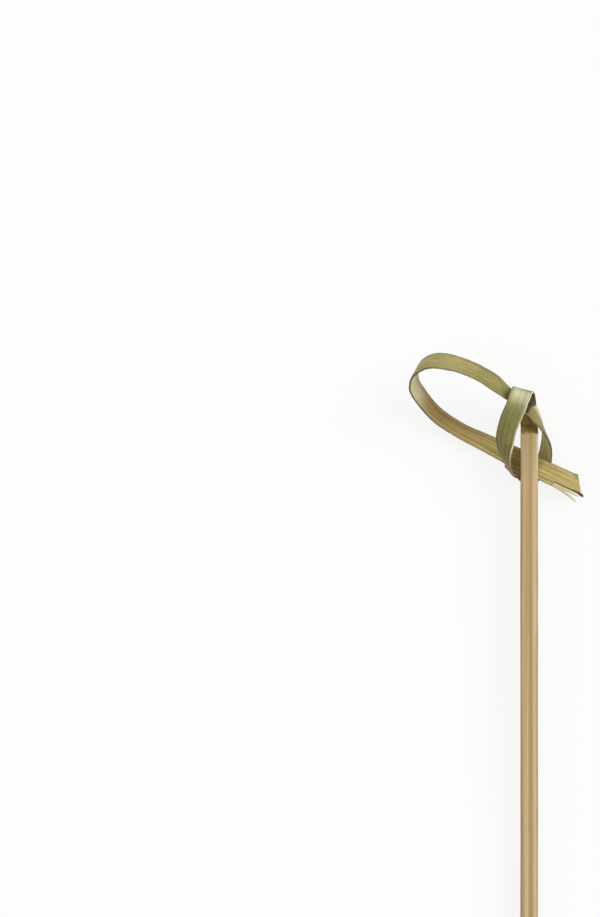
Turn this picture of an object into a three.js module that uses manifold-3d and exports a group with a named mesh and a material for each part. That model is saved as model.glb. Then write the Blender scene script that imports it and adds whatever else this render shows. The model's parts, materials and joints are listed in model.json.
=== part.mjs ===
// A bamboo knot pick: a long split-bamboo stick with a four-sided point, whose skin layer is shaved
// free at the top, and the ribbon so made is tied in a knot with one big loop and a short tail.
// It is a single piece of bamboo, so it is a single solid.
//
// It is drawn with the stick along Y, its head up, and its flesh side towards +Z, with the origin on
// the stick's axis at the notch where the ribbon leaves it. At the end the finished solid is laid down
// as it comes to rest on a table, with +Z up. Lengths are in millimetres and angles in degrees.

import * as THREE from "three";
import { ConvexHull } from "three/addons/math/ConvexHull.js";
import { mergeVertices } from "three/addons/utils/BufferGeometryUtils.js";
import Module from "manifold-3d";

// The stick.
const stickLength = 138; // from the notch to the point
const stickWidth = 2.6;
const stickDepth = 1.9; // from the skin side to the flesh side
const stickRound = 0.3; // softening of the long edges
const notchRise = 1.2; // height of the sloping cut where the ribbon leaves the stick
const pointLength = 3.2; // the steep part of the point
const pointShoulder = 2.4; // the gentle narrowing above it
const shoulderNarrowing = 0.4; // width lost along the shoulder
const pointEnd = 0.24; // the blunt end of the point

// The ribbon's own section.
const ribbonWidth = 3.1;
const ribbonDepth = 0.36;
const ribbonChamfer = 0.1;
const passGap = 0.2; // air between two passes that cross, and between a pass and the stick
const ribbonLean = 0.72; // sine of the angle at which the leaning passes stand to the front
const ribbonRoot = 1.6; // the skin layer begins this far below the notch, inside the stick
const ribbonStand = 1.4; // it stands straight up to this height above the notch

// The tight ring of the knot, to the middle of the ribbon.
const archHeight = 6.35; // top of the arch above the notch
const ringDrop = 6.4; // foot of the ring below the notch
const ringLeft = 3.6; // left pass to the stick's axis
const ringRight = 2.6; // right pass to the stick's axis

// The big loop, to the middle of the ribbon.
const loopReach = 16.9; // far end to the stick's axis
const loopHeight = 10.5; // top of the loop above the notch
const loopFront = 3.9; // how far the upper limb bows to the front
const loopBack = 5; // how far the lower limb bows to the back

// The tail, which leaves the knot behind the stick.
const tailDrop = 4.5; // below the notch, where the tail crosses the stick's axis
const tailSlope = 24.5;
const tailReach = 7.5; // its cut end to the stick's axis
const tailCutSlant = 8; // slant of the end cut to the stick
const splitLength = 3.7; // a split runs this far up the tail from its end
const splitMouth = 0.22; // width of the split at the end
const sliverLength = 4.6; // the loose splinter below the split
const sliverWidth = 0.62;
const sliverDepth = 0.3;
const sliverSpread = 11; // angle at which its tip stands off

const wasm = await Module();
wasm.setup();

const radians = THREE.MathUtils.degToRad;

// A closed skin over a row of rings, each the same number of points counter-clockwise as seen from
// the end that the row runs towards.
function skinOver(rings) {
  const count = rings[0].length;
  const points = rings.flat();
  const faces = [];
  for (let r = 0; r + 1 < rings.length; r += 1) {
    for (let i = 0; i < count; i += 1) {
      const here = r * count + i;
      const beside = r * count + ((i + 1) % count);
      faces.push(here, beside, beside + count);
      faces.push(here, beside + count, here + count);
    }
  }
  const last = points.length - count;
  for (let i = 1; i + 1 < count; i += 1) {
    faces.push(0, i + 1, i);
    faces.push(last, last + i, last + i + 1);
  }
  const geometry = new THREE.BufferGeometry().setFromPoints(points);
  geometry.setIndex(faces);
  return geometry;
}

// A manifold solid from a closed three.js geometry.
function solid(geometry) {
  const bare = geometry.clone();
  bare.deleteAttribute("normal");
  bare.deleteAttribute("uv");
  const merged = mergeVertices(bare, 1e-5);
  return new wasm.Manifold(
    new wasm.Mesh({
      numProp: 3,
      vertProperties: merged.attributes.position.array,
      triVerts: new Uint32Array(merged.index.array),
    }),
  );
}

// A rectangle with cut corners, counter-clockwise, as [across, through] pairs.
function section(width, depth, corner) {
  const w = width / 2;
  const d = depth / 2;
  const c = Math.min(corner, w / 2, d / 2);
  return [
    [w, -d + c],
    [w, d - c],
    [w - c, d],
    [-w + c, d],
    [-w, d - c],
    [-w, -d + c],
    [-w + c, -d],
    [w - c, -d],
  ];
}

// The stick: a row of sections up from its point, the last one on the slope of the notch.
function stick() {
  const front = stickDepth / 2;
  const narrow = 1 - shoulderNarrowing / stickWidth;
  const slope = notchRise / (stickDepth - ribbonDepth);
  const shoulder = -stickLength + pointLength;
  const rings = [
    [-stickLength, pointEnd, pointEnd],
    [shoulder, stickWidth * narrow, stickDepth * narrow],
    [shoulder + pointShoulder, stickWidth, stickDepth],
    [0, stickWidth, stickDepth],
  ].map(([y, width, depth]) =>
    section(width, depth, stickRound).map(([x, z]) => new THREE.Vector3(x, y, -z)),
  );
  rings.push(rings.pop().map(({ x, z }) => new THREE.Vector3(x, slope * (front - z), z)));
  return solid(skinOver(rings));
}

// A strip swept through stations, each a middle, a direction across the strip (only its part square
// to the route counts) and a width. Its skin side faces across x forwards.
function strip(stations, depth, steps) {
  const route = new THREE.CatmullRomCurve3(stations.map((s) => s.middle));
  const turns = new THREE.CatmullRomCurve3(stations.map((s) => s.across.clone().normalize()));
  const widths = new THREE.SplineCurve(stations.map((s) => new THREE.Vector2(s.width, 0)));
  const rings = [];
  for (let i = 0; i <= steps; i += 1) {
    const along = i / steps;
    const middle = route.getPoint(along);
    const forwards = route.getTangent(along);
    const across = turns.getPoint(along);
    across.addScaledVector(forwards, -across.dot(forwards)).normalize();
    const through = new THREE.Vector3().crossVectors(across, forwards);
    const width = widths.getPoint(along).x;
    rings.push(
      section(width, depth, ribbonChamfer).map(([a, t]) =>
        middle.clone().addScaledVector(across, a).addScaledVector(through, -t),
      ),
    );
  }
  return solid(skinOver(rings));
}

function at(x, y, z, across, width = ribbonWidth) {
  return { middle: new THREE.Vector3(x, y, z), across: new THREE.Vector3(...across), width };
}

// The depths at which the passes lie, from the skin side of the stick to the front of the knot.
const skinSide = -stickDepth / 2;
const halfLean = (ribbonWidth / 2) * ribbonLean;
const layer = ribbonDepth + passGap;
const standing = skinSide + ribbonDepth / 2;
const tailPass = skinSide - passGap - ribbonDepth / 2;
const footPass = tailPass - halfLean - passGap / 2;
const risingPass = tailPass - layer - halfLean - passGap / 2;
const crossingPass = standing + layer + halfLean;
const archPass = crossingPass + 2 * halfLean + layer + passGap;
const archMiddle = (standing + archPass) / 2;
const archRadius = (archPass - standing) / 2;
const archBase = archHeight - archRadius;

const tailRun = new THREE.Vector3(1, -Math.tan(radians(tailSlope)), 0);
const tailAcross = [Math.sin(radians(tailSlope)), Math.cos(radians(tailSlope)), 0];

function onTail(x) {
  return tailRun.clone().multiplyScalar(x).add(new THREE.Vector3(0, -tailDrop, tailPass));
}

// The route of the ribbon from the notch to the end of the tail.
function ribbonStations() {
  const inset = 0.02;
  const overCut = 1.5;
  const tailEnd = onTail(tailReach + overCut);
  const arch = (up, forwards, x, across) =>
    at(x * ringLeft, archBase + up * archRadius, archMiddle + forwards * archRadius, across);
  return [
    // the skin layer leaves the stick and stands up at its back
    at(0, -ribbonRoot, standing + inset, [-1, 0, 0], stickWidth - 2 * inset),
    at(0, ribbonStand, standing + inset, [-1, 0, 0], stickWidth - 2 * inset),
    // over the arch to the front
    arch(0.1, -1, -0.12, [-1, 0.09, 0]),
    arch(0.83, -0.77, -0.2, [-0.98, 0.17, -0.05]),
    arch(1.04, 0, -0.28, [-0.94, 0.31, -0.02]),
    arch(0.78, 0.76, -0.38, [-0.92, 0.36, -0.04]),
    // down the left side
    at(-0.57 * ringLeft, 0.64 * archHeight, archPass, [-0.9, 0.38, -0.2]),
    at(-0.84 * ringLeft, 0.25 * archHeight, 0.6 * archPass, [-0.92, 0.2, -0.35]),
    at(-0.99 * ringLeft, -0.15 * ringDrop, 0.2 * archPass, [-0.84, 0.05, -0.52]),
    at(-0.99 * ringLeft, -0.48 * ringDrop, -0.1 * tailPass, [-0.47, 0.1, -0.87]),
    at(-0.8 * ringLeft, -0.84 * ringDrop, 0.6 * tailPass, [-0.12, 0.08, -0.98]),
    // round the foot, behind the stick
    at(-0.52 * ringLeft, -0.93 * ringDrop, footPass + passGap, [-0.3, 0.52, -0.8]),
    at(-0.17 * ringLeft, -ringDrop, footPass - passGap, [-0.42, 0.62, -0.66]),
    at(0.35 * ringRight, -0.94 * ringDrop, risingPass, [-0.5, 0.5, -0.7]),
    // up the right side
    at(0.81 * ringRight, -0.72 * ringDrop, risingPass, [-0.6, 0.32, -0.72]),
    at(ringRight, -0.4 * ringDrop, 0.8 * risingPass, [-0.5, 0.35, -0.8]),
    at(0.99 * ringRight, -0.12 * ringDrop, 0.4 * risingPass, [-0.33, 0.5, -0.8]),
    at(0.76 * ringRight, 0.13 * archHeight, 0.2 * crossingPass, [-0.08, 0.52, -0.85]),
    // across the front of the standing skin layer and through the arch
    at(0.4 * ringRight, 0.36 * archHeight, 0.95 * crossingPass, [0.17, 0.6, -0.78]),
    at(0.05 * ringRight, 0.55 * archHeight, 1.2 * crossingPass, [0.28, 0.58, -0.76]),
    at(-0.42 * ringLeft, 0.71 * archHeight, 1.45 * crossingPass, [0.28, 0.5, -0.81]),
    at(-0.88 * ringLeft, 0.92 * archHeight, 0.36 * loopFront, [0.2, 0.54, -0.81]),
    // the upper limb of the loop
    at(-0.31 * loopReach, 0.71 * loopHeight, 0.67 * loopFront, [0.26, 0.7, -0.66]),
    at(-0.5 * loopReach, 0.88 * loopHeight, loopFront, [0.19, 0.72, -0.67]),
    at(-0.71 * loopReach, 0.99 * loopHeight, 0.92 * loopFront, [0.2, 0.73, -0.65]),
    at(-0.87 * loopReach, loopHeight, 0.46 * loopFront, [0.28, 0.7, -0.65]),
    // round its far end
    at(-0.98 * loopReach, 0.88 * loopHeight, 0.05 * loopFront, [0.38, 0.68, -0.63]),
    at(-loopReach, 0.7 * loopHeight, -0.32 * loopBack, [0.4, 0.66, -0.63]),
    at(-0.93 * loopReach, 0.51 * loopHeight, -0.68 * loopBack, [0.4, 0.64, -0.65]),
    // the lower limb of the loop
    at(-0.79 * loopReach, 0.26 * loopHeight, -0.97 * loopBack, [0.4, 0.6, -0.68]),
    at(-0.585 * loopReach, 0.04 * loopHeight, -loopBack, [0.46, 0.58, -0.67]),
    at(-0.41 * loopReach, -0.23 * tailDrop, -0.82 * loopBack, [0.5, 0.66, -0.56]),
    at(-0.27 * loopReach, -0.49 * tailDrop, -0.7 * loopBack, [0.5, 0.74, -0.4]),
    // behind the stick and out as the tail
    at(-0.64 * ringLeft, onTail(-0.64 * ringLeft).y + passGap / 2, 1.75 * tailPass, [0.45, 0.88, -0.15]),
    at(0, -tailDrop, tailPass, tailAcross),
    at(...onTail(ringRight), tailAcross),
    at(...tailEnd, tailAcross),
  ];
}

// What is cut off the end of the tail: all beyond its slanting end, and the strip that the split
// has let go below it.
function tailWaste() {
  const block = 4 * ribbonWidth;
  const beyond = new THREE.BoxGeometry(block, 2 * block, block);
  beyond.translate(block / 2, 0, 0);
  beyond.rotateZ(radians(tailCutSlant));
  beyond.translate(...onTail(tailReach));
  const below = new THREE.BoxGeometry(block, block, block);
  below.translate(block / 2, -block / 2, 0);
  below.rotateZ(radians(-tailSlope - splitTurn()));
  below.translate(...splitRoot());
  return solid(beyond).add(solid(below));
}

// The split starts above the strip's lower edge by the splinter's width.
function splitRoot() {
  const rise = ribbonWidth / 2 - sliverWidth;
  return onTail(tailReach - splitLength)
    .addScaledVector(new THREE.Vector3(...tailAcross), -rise);
}

function splitTurn() {
  return THREE.MathUtils.radToDeg(Math.atan2(splitMouth, splitLength)) / 2;
}

// The splinter below the split, which springs away from the tail.
function sliver() {
  const run = tailRun.clone().normalize();
  const down = new THREE.Vector3(...tailAcross).negate();
  const root = splitRoot().addScaledVector(down, sliverWidth / 2);
  const overlap = 1.2;
  const station = (along, spread, width) => {
    const angle = radians(spread);
    const middle = root
      .clone()
      .addScaledVector(run, along * Math.cos(angle))
      .addScaledVector(down, along * Math.sin(angle));
    return at(...middle, tailAcross, width * sliverWidth);
  };
  return strip(
    [
      station(-overlap, 0, 0.85),
      station(0, 0, 1),
      station(0.6 * sliverLength, 0.64 * sliverSpread, 1.2),
      station(sliverLength, sliverSpread, 0.35),
    ],
    sliverDepth,
    9,
  );
}

function knotPick() {
  const ribbon = strip(ribbonStations(), ribbonDepth, 168).subtract(tailWaste());
  const made = stick().add(ribbon).add(sliver());
  const mesh = made.getMesh();
  const geometry = new THREE.BufferGeometry();
  geometry.setAttribute("position", new THREE.BufferAttribute(mesh.vertProperties, 3));
  geometry.setIndex(new THREE.BufferAttribute(mesh.triVerts, 1));
  return geometry;
}

// The middle of a closed geometry's volume.
function weightCentre(geometry) {
  const place = geometry.getAttribute("position");
  const index = geometry.getIndex();
  const corner = [0, 1, 2].map(() => new THREE.Vector3());
  const sum = new THREE.Vector3();
  let volume = 0;
  for (let i = 0; i < index.count; i += 3) {
    corner.forEach((c, k) => c.fromBufferAttribute(place, index.getX(i + k)));
    const [a, b, c] = corner;
    const share = a.dot(new THREE.Vector3().crossVectors(b, c)) / 6;
    volume += share;
    sum.addScaledVector(a.clone().add(b).add(c), share / 4);
  }
  return sum.divideScalar(volume);
}

// The outward direction of the face of the convex hull that the part comes to rest on: the one
// below its weight when its skin side is put down.
function restingFace(geometry) {
  const place = geometry.getAttribute("position");
  const points = [];
  for (let i = 0; i < place.count; i += 1) {
    points.push(new THREE.Vector3().fromBufferAttribute(place, i));
  }
  const centre = weightCentre(geometry);
  const down = new THREE.Ray(centre, new THREE.Vector3(0, 0, -1));
  let face = null;
  let tilt = -1;
  for (const candidate of new ConvexHull().setFromPoints(points).faces) {
    const { normal, edge } = candidate;
    const foot = centre.clone().projectOnPlane(normal).addScaledVector(normal, candidate.constant);
    const corners = [edge, edge.next, edge.prev].map((e) => e.head().point);
    const triangle = new THREE.Triangle(corners[2], corners[0], corners[1]);
    const facing = normal.dot(down.direction);
    if (facing > tilt && triangle.containsPoint(foot)) {
      face = normal.clone();
      tilt = facing;
    }
  }
  return face;
}

const geometry = knotPick();

// Laid down on that face, turned so that the stick runs along Y again, and moved so that the middle
// of its box stands at the origin.
const settle = new THREE.Quaternion().setFromUnitVectors(
  restingFace(geometry),
  new THREE.Vector3(0, 0, -1),
);
const stickAlong = new THREE.Vector3(0, 1, 0).applyQuaternion(settle);
const straighten = new THREE.Quaternion().setFromAxisAngle(
  new THREE.Vector3(0, 0, 1),
  Math.atan2(stickAlong.x, stickAlong.y),
);
geometry.applyQuaternion(straighten.multiply(settle));
geometry.computeBoundingBox();
const box = geometry.boundingBox;
const middle = box.getCenter(new THREE.Vector3());
geometry.translate(-middle.x, -middle.y, -box.min.z);
geometry.computeVertexNormals();

const bamboo = new THREE.MeshStandardMaterial({ color: 0xb79c62, roughness: 0.62, metalness: 0 });
const knotPickMesh = new THREE.Mesh(geometry, bamboo);
knotPickMesh.name = "knot_pick";

const pick = new THREE.Group();
pick.add(knotPickMesh);

export default pick;
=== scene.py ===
"""A bamboo knot pick: a split stick whose own skin is shaved free at its head and tied."""

import json
import math

import bpy
import numpy as np
from bpy.props import FloatProperty, FloatVectorProperty, PointerProperty
from mathutils import Matrix, Vector


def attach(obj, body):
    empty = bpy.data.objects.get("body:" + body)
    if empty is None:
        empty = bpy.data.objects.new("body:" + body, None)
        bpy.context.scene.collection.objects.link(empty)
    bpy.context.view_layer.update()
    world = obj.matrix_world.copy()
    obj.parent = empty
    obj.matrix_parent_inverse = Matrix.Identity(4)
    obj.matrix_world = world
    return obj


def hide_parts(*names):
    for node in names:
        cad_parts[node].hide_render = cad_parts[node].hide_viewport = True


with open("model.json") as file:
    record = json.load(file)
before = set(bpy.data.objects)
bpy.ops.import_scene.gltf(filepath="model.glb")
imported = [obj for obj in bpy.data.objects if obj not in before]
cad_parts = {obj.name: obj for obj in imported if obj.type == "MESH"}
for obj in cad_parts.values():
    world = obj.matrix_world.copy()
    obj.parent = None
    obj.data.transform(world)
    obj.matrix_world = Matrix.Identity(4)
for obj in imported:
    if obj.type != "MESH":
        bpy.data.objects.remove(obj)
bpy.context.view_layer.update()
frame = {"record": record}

bl_info = {
    "name": "Bamboo Knot Pick",
    "version": (1, 0, 0),
    "blender": (4, 5, 0),
    "location": "View3D > Sidebar > Bamboo Pick",
    "description": "Makes a split-bamboo food pick with a knotted ribbon of its own skin",
    "category": "Add Mesh",
}

MM = 0.001
FACE_MOUNT = "stick_flesh_face"
FACE_BELOW_NOTCH = 60 * MM  # that mount's distance down the stick
PHOTO_SIZE = (600, 917)
PHOTO_SCALE = 0.1466 * MM  # one pixel of the photograph at the stick
NOTCH_PIXEL = (529.3, 433.5)
RINGS_PER_STATION = 18  # rings of the ribbon's surface between two stations of its route
TAIL_RINGS = 64
SIDE, BARK, CUT = 1, 2, 3  # numbers of the stick's finishes; its flesh face is 0
NO_EDGES = 9  # a half width in mm beyond any strip, for finishes without worn edges
FLOOR_SIZE = 5
SENSOR = 36  # width of the camera's sensor in mm


def tone(code):
    """A colour written as a web code, as the linear red, green and blue that Blender keeps."""
    channels = [(code >> shift & 255) / 255 for shift in (16, 8, 0)]
    return tuple(c / 12.92 if c <= 0.04045 else ((c + 0.055) / 1.055) ** 2.4 for c in channels)


def size(label, about, millimetres):
    """A length property."""
    return FloatProperty(
        name=label, description=about, default=millimetres * MM, min=0, unit="LENGTH", precision=5
    )


def angle(label, about, degrees):
    """An angle property."""
    turn = math.radians(degrees)
    return FloatProperty(name=label, description=about, default=turn, subtype="ANGLE")


def colour(label, about, code):
    """A colour property."""
    return FloatVectorProperty(
        name=label, description=about, default=tone(code), size=3, subtype="COLOR", min=0, max=1
    )


def share(label, about, value, most=1.0):
    """A plain number property."""
    return FloatProperty(
        name=label, description=about, default=value, min=0, max=most, subtype="FACTOR"
    )


class StickSizes(bpy.types.PropertyGroup):
    """Sizes of the stick."""

    length: size("Length", "From the notch to the point", 138)
    width: size("Width", "Across the flesh face", 2.6)
    depth: size("Depth", "From the skin side to the flesh side", 1.9)
    rounding: size("Rounding", "Softening of the long edges", 0.26)
    notch_rise: size("Notch rise", "Height of the sloping cut where the ribbon leaves", 1.2)
    point_length: size("Point length", "The steep part of the point", 3.2)
    point_shoulder: size("Point shoulder", "The gentle narrowing above the point", 2.4)
    shoulder_narrowing: size("Shoulder narrowing", "Width lost along the shoulder", 0.4)
    point_end: size("Point end", "Width of the blunt end of the point", 0.24)
    groove: size("Groove depth", "Depth of the fibre grooves in the split faces", 0.06)


class RibbonSizes(bpy.types.PropertyGroup):
    """Sizes of the ribbon and its knot, to the middle of the ribbon."""

    width: size("Width", "Width of the ribbon", 3.1)
    depth: size("Depth", "Thickness of the ribbon", 0.36)
    edge: size("Edge", "Rounding of the ribbon's edges", 0.1)
    gap: size("Pass gap", "Air between two passes that cross", 0.2)
    lean: share("Lean", "Sine of the angle at which the leaning passes stand to the front", 0.72)
    root: size("Root", "How far below the notch the skin layer begins", 1.6)
    stand: size("Stand", "Height up to which the skin layer stands straight", 1.4)
    arch_height: size("Arch height", "Top of the arch above the notch", 6.35)
    ring_drop: size("Ring drop", "Foot of the ring below the notch", 6.4)
    ring_left: size("Ring left", "Left pass to the stick's axis", 3.6)
    ring_right: size("Ring right", "Right pass to the stick's axis", 2.6)
    loop_reach: size("Loop reach", "Far end of the loop to the stick's axis", 16.9)
    loop_height: size("Loop height", "Top of the loop above the notch", 10.5)
    loop_front: size("Loop front", "How far the upper limb bows to the front", 3.9)
    loop_back: size("Loop back", "How far the lower limb bows to the back", 5)
    groove: size("Groove depth", "Depth of the fibre grooves in the flesh side", 0.035)
    fray: size("Fray", "Unevenness of the ribbon's edges", 0.07)


class TailSizes(bpy.types.PropertyGroup):
    """Sizes of the tail and its splinter."""

    drop: size("Drop", "Below the notch, where the tail crosses the stick's axis", 4.5)
    slope: angle("Slope", "Fall of the tail", 24.5)
    reach: size("Reach", "The cut end to the stick's axis", 7.5)
    cut_slant: angle("Cut slant", "Slant of the end cut to the stick", 8)
    split_length: size("Split length", "How far the split runs up from the end", 3.7)
    split_mouth: size("Split mouth", "Width of the split at the end", 0.22)
    sliver_length: size("Splinter length", "The loose splinter below the split", 4.6)
    sliver_width: size("Splinter width", "Width of the splinter at its root", 0.62)
    sliver_depth: size("Splinter depth", "Thickness of the splinter", 0.3)
    sliver_spread: angle("Splinter spread", "How far its tip stands off", 11)


class BambooColours(bpy.types.PropertyGroup):
    """Colours of the bamboo."""

    skin_green: colour("Skin green", "The outer skin where it kept its green", 0x959B59)
    skin_olive: colour("Skin olive", "Darker streaks in the green skin", 0x666530)
    skin_tan: colour("Skin tan", "The outer skin where it has dried", 0xB5A265)
    # also paints the highlight on the arch's top, the sheen inside the loop's far end and light on
    # the shaded right pass
    skin_bloom: colour("Skin bloom", "Pale waxy bloom on the skin", 0xD8D6AE)
    flesh_light: colour("Flesh light", "The split face between its fibres", 0xCFB788)
    flesh_tan: colour("Flesh tan", "Broad darker bands of the split face", 0xB69660)
    flesh_gold: colour("Flesh gold", "The inner side of the ribbon", 0xE0CD86)
    flesh_brown: colour("Flesh brown", "Where the flesh has browned", 0x846632)
    fibre: colour("Fibre", "Dark fibre lines", 0x86693A)
    cream: colour("Cut edge", "Freshly cut edge of the ribbon", 0xF8F2D2)
    notch: colour("Notch", "The stained cut at the head of the stick", 0xB5924D)
    # painted shade: this colour darkens the inside of the knot, the hollow under the arch and the
    # stick's shadow on the tail; on the edges it is partly browned and partly shade, and it stains
    # the stick's point and the splinter's tip
    dark: colour("Dark edge", "Darkened edges and the inside of the knot", 0x3A300E)
    grey: colour("Weathered", "Weathered tips and the stick's outer edge", 0x8E8466)


class StageLook(bpy.types.PropertyGroup):
    """Floor, light and camera."""

    floor: colour("Floor", "Colour of the table", 0xF6F6F4)
    shade: share("Floor shade", "How much of the object's shadow the floor shows", 0.16)
    sky: share("Sky", "Level of the light from all round", 0.58, 2)
    key: share("Key", "Level of the lamp from the right", 0.5, 2)
    fill: share("Fill", "Level of the lamp from the upper left", 0.1, 2)
    lens: FloatProperty(name="Lens", description="Focal length in millimetres", default=200, min=20)


def pick_place():
    """The pick's own frame, from its notch: X to the right, Y to its head, Z out of its flesh."""
    face = next(m for m in frame["record"]["mounts"] if m["name"] == FACE_MOUNT)
    out = Vector(face["axis"]).normalized()
    along = Vector((0, out.z, -out.y)).normalized()
    right = along.cross(out)
    inward = out * bpy.context.scene.stick_sizes.depth / 2
    notch = Vector(face["pos_m"]) + along * FACE_BELOW_NOTCH - inward
    return Matrix.Translation(notch) @ Matrix((right, along, out)).transposed().to_4x4()


def unit(vectors):
    """The same directions, one long."""
    return vectors / np.linalg.norm(vectors, axis=-1, keepdims=True)


def rise(value, low, high):
    """0 below low, 1 above high, and a soft slope between."""
    t = np.clip((np.asarray(value, float) - low) / (high - low), 0, 1)
    return t * t * (3 - 2 * t)


def between(value, begins, full, fades, ends):
    """1 from full to fades, 0 outside begins and ends, and soft slopes between."""
    return rise(value, begins, full) * rise(-value, -ends, -fades)


def relief(u, v, seed):
    """Smooth random heights from 0 to 1 over a plane, one random height to each whole step."""
    u, v = np.broadcast_arrays(np.asarray(u, float), np.asarray(v, float))
    heights = np.random.RandomState(seed).rand(128, 128)
    column, row = np.floor(u).astype(int), np.floor(v).astype(int)
    a, b = u - column, v - row
    a, b = a * a * (3 - 2 * a), b * b * (3 - 2 * b)

    def height(right, up):
        return heights[(column + right) % 128, (row + up) % 128]

    low = height(0, 0) * (1 - a) + height(1, 0) * a
    high = height(0, 1) * (1 - a) + height(1, 1) * a
    return low * (1 - b) + high * b


def curve_through(points, shares, evenness=0.5):
    """Places on a Catmull-Rom curve through the points, every span an equal share of it."""
    points = np.asarray(points, float)
    spans = len(points) - 1
    place = np.clip(shares, 0, 1) * spans
    start = np.minimum(place.astype(int), spans - 1)
    t = (place - start)[:, None]
    ends = np.vstack([2 * points[0] - points[1], points, 2 * points[-1] - points[-2]])
    p0, p1, p2, p3 = (ends[start + k] for k in range(4))

    def pace(a, b):
        return np.linalg.norm(b - a, axis=1, keepdims=True) ** evenness

    tiny = 1e-7
    d1 = np.where(pace(p1, p2) < tiny, 1, pace(p1, p2))
    d0 = np.where(pace(p0, p1) < tiny, d1, pace(p0, p1))
    d2 = np.where(pace(p2, p3) < tiny, d1, pace(p2, p3))
    m1 = ((p1 - p0) / d0 - (p2 - p0) / (d0 + d1) + (p2 - p1) / d1) * d1
    m2 = ((p2 - p1) / d1 - (p3 - p1) / (d1 + d2) + (p3 - p2) / d2) * d1
    return p1 + m1 * t + (3 * (p2 - p1) - 2 * m1 - m2) * t**2 + (2 * (p1 - p2) + m1 + m2) * t**3


def walk(points, shares, nudge, across):
    """Places on a curve through the points, forwards at each, and across made square to that."""
    forwards = unit(curve_through(points, shares + nudge) - curve_through(points, shares - nudge))
    across = unit(across - np.sum(across * forwards, 1, keepdims=True) * forwards)
    return curve_through(points, shares), forwards, across


def placed(name, data):
    """A new object in the scene."""
    made = bpy.data.objects.new(name, data)
    bpy.context.scene.collection.objects.link(made)
    return made


class Surface:
    """A closed surface of rings of points, each with its lay in the bamboo and its colouring."""

    def __init__(self):
        self.points, self.lay, self.colouring = [], [], []
        self.faces, self.slots = [], []

    def ring(self, points, lay, colouring):
        """Adds a ring, its lay across, along and through in mm, and returns its points' numbers."""
        first = sum(map(len, self.points))
        self.points.append(np.asarray(points, float))
        self.lay.append(np.asarray(lay, float))
        self.colouring.append(np.asarray(colouring, float))
        return np.arange(first, first + len(points))

    def face(self, numbers, slot):
        """Adds one face."""
        self.faces.append([int(n) for n in numbers])
        self.slots.append(int(slot))

    def wall(self, rings, slots):
        """Faces from each ring to the next, slots giving the finish of each side."""
        count = len(slots)
        for low, high in zip(rings, rings[1:]):
            for k in range(count):
                after = (k + 1) % count
                self.face((low[k], low[after], high[after], high[k]), slots[k])

    def build(self, name, finishes):
        """The finished object, laid where the pick lies."""
        mesh = bpy.data.meshes.new(name)
        mesh.from_pydata(np.concatenate(self.points).tolist(), [], self.faces)
        mesh.transform(pick_place())
        for finish in finishes:
            mesh.materials.append(finish)
        mesh.polygons.foreach_set("material_index", self.slots)
        mesh.polygons.foreach_set("use_smooth", [True] * len(self.faces))
        for label, values in (("lay", self.lay), ("colouring", self.colouring)):
            attribute = mesh.attributes.new(label, "FLOAT_VECTOR", "POINT")
            attribute.data.foreach_set("vector", np.concatenate(values).astype(np.float32).ravel())
        if mesh.validate():
            raise RuntimeError(f"{name} has faces that could not be kept")
        piece = placed(name, mesh)
        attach(piece, "root")
        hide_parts("knot_pick")
        return piece


class Strip:
    """Rings round a flat strip of bamboo. Its skin side faces across x forwards."""

    def __init__(self, columns, edge_points=3):
        sweep = np.linspace(-1, 1, columns)
        turn = np.linspace(math.pi / 2, -math.pi / 2, edge_points + 2)[1:-1]
        self.columns, self.edge_points = columns, edge_points
        self.flat = np.concatenate([sweep, np.ones(edge_points), -sweep, -np.ones(edge_points)])
        self.bulge = np.concatenate([0 * sweep, np.cos(turn), 0 * sweep, -np.cos(turn)])
        self.up = np.concatenate([0 * sweep + 1, np.sin(turn), 0 * sweep - 1, -np.sin(turn)])
        self.is_flesh = np.arange(len(self.flat)) >= columns + edge_points
        self.is_flesh &= np.arange(len(self.flat)) < 2 * columns + edge_points
        self.is_edge = np.abs(self.bulge) > 0
        after = np.roll(self.is_edge, -1) | self.is_edge
        corner = (np.arange(len(self.flat)) + 1) % (columns + edge_points) == columns
        self.slots = np.where(after | corner, 2, np.where(self.is_flesh, 1, 0))

    def sweep(
        self, surface, middles, across, forwards, widths, depths, lows, groove, edge, paint, seed,
        end=1,
    ):
        """Adds the strip: lows lets its lower edge in, paint colours it, end is its end's slot."""
        through = unit(np.cross(across, forwards))
        steps = np.linalg.norm(np.diff(middles, axis=0), axis=1)
        along = np.concatenate([[0], np.cumsum(steps)]) / MM
        rings = []
        for i, middle in enumerate(middles):
            half = widths[i] / 2
            low = -half + lows[i]
            flat = (low + edge) + (self.flat + 1) / 2 * (half - low - 2 * edge)
            x = flat + self.bulge * edge
            z = self.up * depths[i] / 2
            fibres = relief(x / MM / 0.16 + 40, along[i] / 9, seed)
            fibres = 0.7 * fibres + 0.3 * relief(x / MM / 0.07 + 90, along[i] / 4, seed + 1)
            z = z + np.where(self.is_flesh, groove * fibres, 0)
            z = z - np.where(self.up > 0.9, 0.1 * depths[i] * (self.flat**4), 0)
            points = middle + np.outer(x, across[i]) + np.outer(z, through[i])
            lay = np.stack([x / MM, np.full(len(x), along[i]), z / MM], 1)
            rings.append(surface.ring(points, lay, paint(i, x, low)))
        surface.wall(rings, self.slots)
        self.close(surface, rings[0], 1, False)
        self.close(surface, rings[-1], end, True)

    def close(self, surface, ring, slot, end):
        """Covers an end of the strip, from its skin side to its flesh side."""
        c, e = self.columns, self.edge_points
        skin, flesh = ring[:c], ring[c + e : 2 * c + e][::-1]
        faces = [[skin[k], skin[k + 1], flesh[k + 1], flesh[k]] for k in range(c - 1)]
        faces.append([skin[-1], *ring[c : c + e], flesh[-1]])
        faces.append([flesh[0], *ring[2 * c + e :], skin[0]])
        for face in faces:
            surface.face(face if end else face[::-1], slot)


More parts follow.
